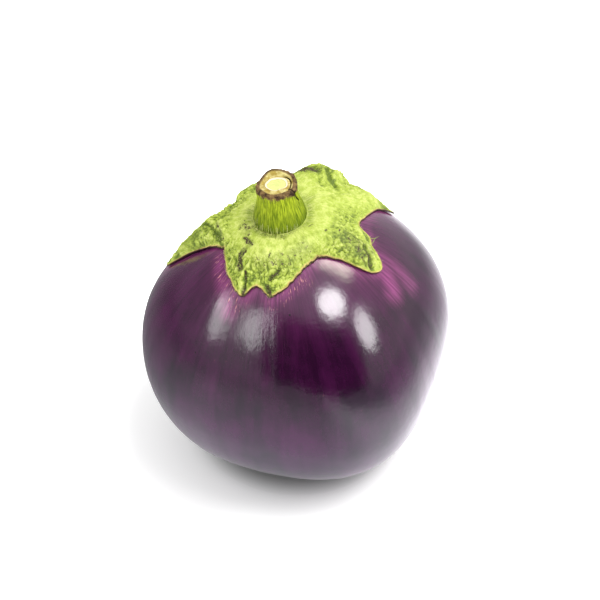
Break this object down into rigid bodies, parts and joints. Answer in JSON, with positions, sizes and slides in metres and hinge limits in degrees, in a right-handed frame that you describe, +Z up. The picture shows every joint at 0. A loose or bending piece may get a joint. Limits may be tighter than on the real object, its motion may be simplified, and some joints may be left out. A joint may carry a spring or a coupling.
{
  "type": "eggplant",
  "caption": "Round violet eggplant as picked, with its lobed green calyx and cut stem, standing on a small flat spot of its underside.",
  "frame": {"origin": "middle of the flat spot that the fruit stands on", "axes": "+Z up, stem on top; the side the picture shows faces -Y; the fruit's own axis leans about 10 degrees to -Y and 6 degrees to -X"},
  "size_m": [0.1177, 0.1187, 0.1261],
  "materials": {
    "skin": "smooth glossy dark violet skin, lighter magenta under the calyx",
    "calyx": "matt fleshy yellow-green, blistered, with a thin dried brown edge",
    "stem": "fibrous green sides, corky brown rim and pale cut face"
  },
  "bodies": {
    "root": {"fruit": "skin", "calyx": "calyx", "stem": "stem"}
  },
  "joints": []
}
